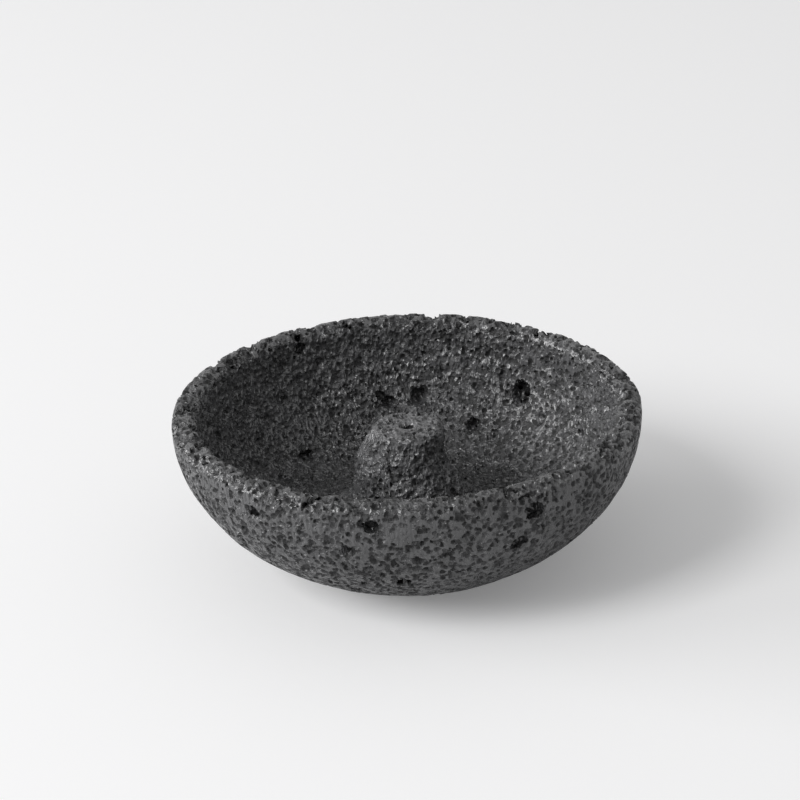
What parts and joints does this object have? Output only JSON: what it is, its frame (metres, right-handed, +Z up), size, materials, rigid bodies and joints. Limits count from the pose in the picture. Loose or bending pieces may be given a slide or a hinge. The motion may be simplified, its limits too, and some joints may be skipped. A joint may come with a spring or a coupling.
{
  "type": "incense stick holder",
  "caption": "Round bowl of black porous lava stone with a cone in its middle, drilled to hold an incense stick upright while the bowl catches its ash.",
  "frame": {"origin": "on the table, under the middle of the bowl", "axes": "+Z up along the stick hole; -Y towards the side seen in the picture; +X to the right in the picture"},
  "size_m": [0.11, 0.11, 0.039],
  "materials": {
    "lava_stone": "rough, porous",
    "felt": "pressed felt"
  },
  "bodies": {
    "root": {"stone_bowl": "lava_stone", "felt_pad_rear": "felt", "felt_pad_front_left": "felt", "felt_pad_front_right": "felt"}
  },
  "joints": []
}
